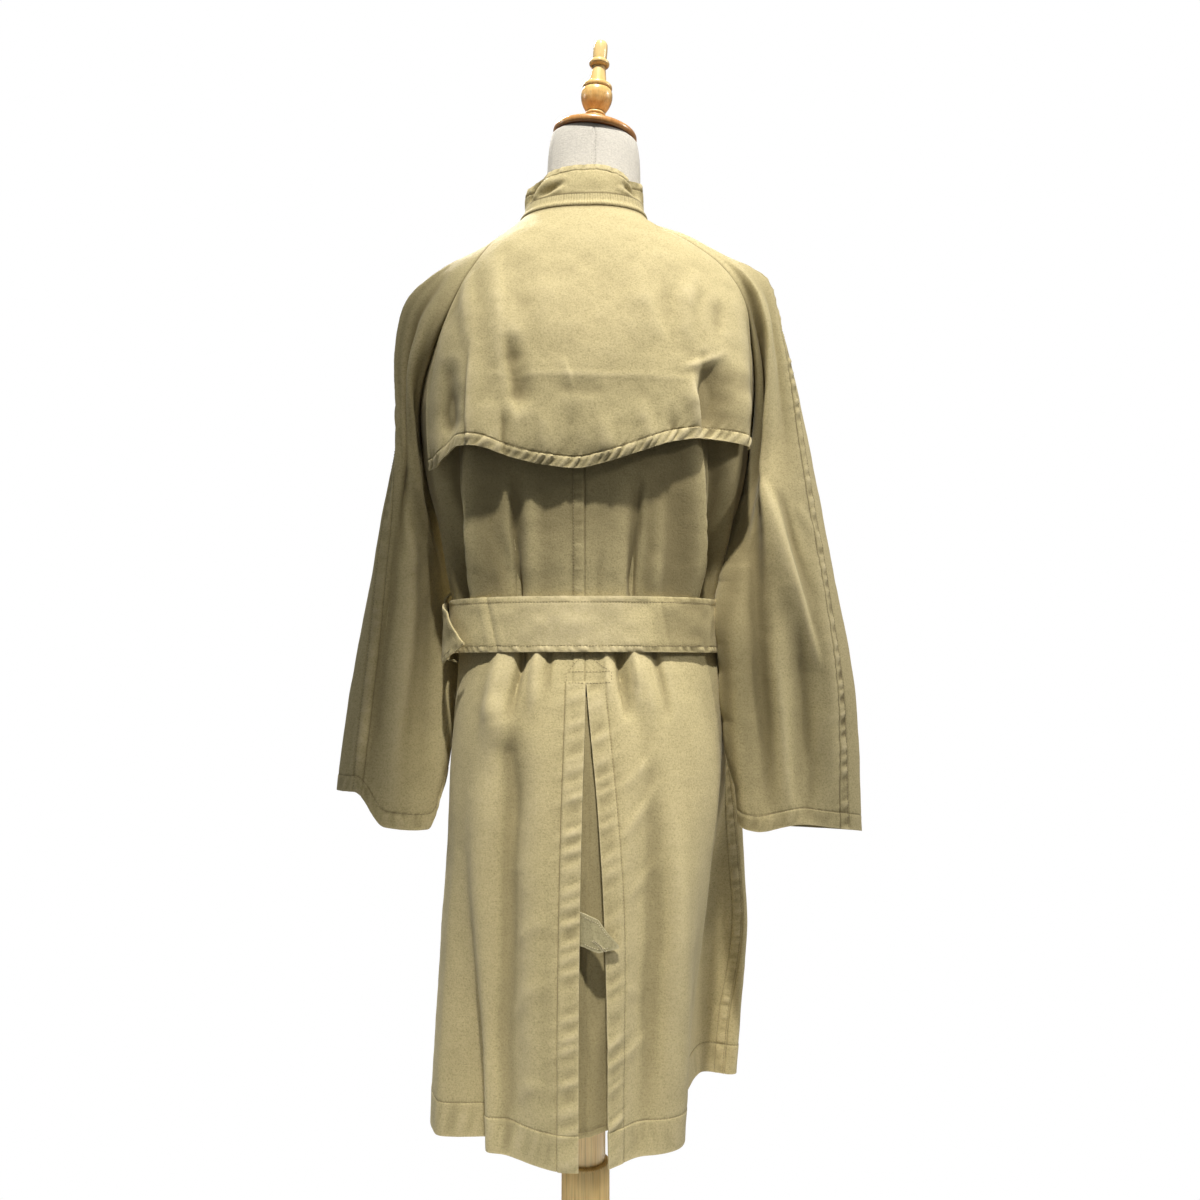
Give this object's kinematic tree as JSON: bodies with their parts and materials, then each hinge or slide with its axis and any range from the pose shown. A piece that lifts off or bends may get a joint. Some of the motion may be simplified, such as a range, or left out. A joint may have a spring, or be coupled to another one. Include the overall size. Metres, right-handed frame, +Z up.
{
  "type": "trench coat on a dress form with stand",
  "caption": "Belted raglan trench coat seen on a limbless linen dress form with a turned wooden finial and post; back storm flap, upturned collar and centre-back vent.",
  "frame": {"origin": "centre of the underside of the round foot", "axes": "+Z up; the coat's front faces -Y and its back faces +Y; the wearer's left is +X"},
  "size_m": [0.5998, 0.34, 1.6489],
  "materials": {
    "twill": "matt khaki cotton twill with a faint sheen, self-coloured stitching",
    "linen": "matt off-white slubby linen",
    "turned_wood": "glossy varnished honey-coloured turned wood",
    "post_wood": "satin pale oak",
    "button_plastic": "polished horn-coloured resin",
    "buckle_leatherette": "dark brown leather covering"
  },
  "bodies": {
    "root": {"back_left": "twill", "back_right": "twill", "belt": "twill", "belt_loop_left": "twill", "belt_loop_right": "twill", "collar_fall": "twill", "collar_stand": "twill", "front_left": "twill", "front_right": "twill", "sleeve_left_back": "twill", "sleeve_left_front": "twill", "sleeve_right_back": "twill", "sleeve_right_front": "twill", "storm_flap": "twill", "vent_tab": "twill", "vent_underlay": "twill", "form_torso": "linen", "neck_cap": "turned_wood", "finial": "turned_wood", "post_upper": "post_wood", "post_lower": "post_wood", "stand_base": "post_wood", "belt_buckle": "buckle_leatherette", "front_button_1": "button_plastic", "front_button_2": "button_plastic", "front_button_3": "button_plastic", "front_button_4": "button_plastic"}
  },
  "joints": []
}
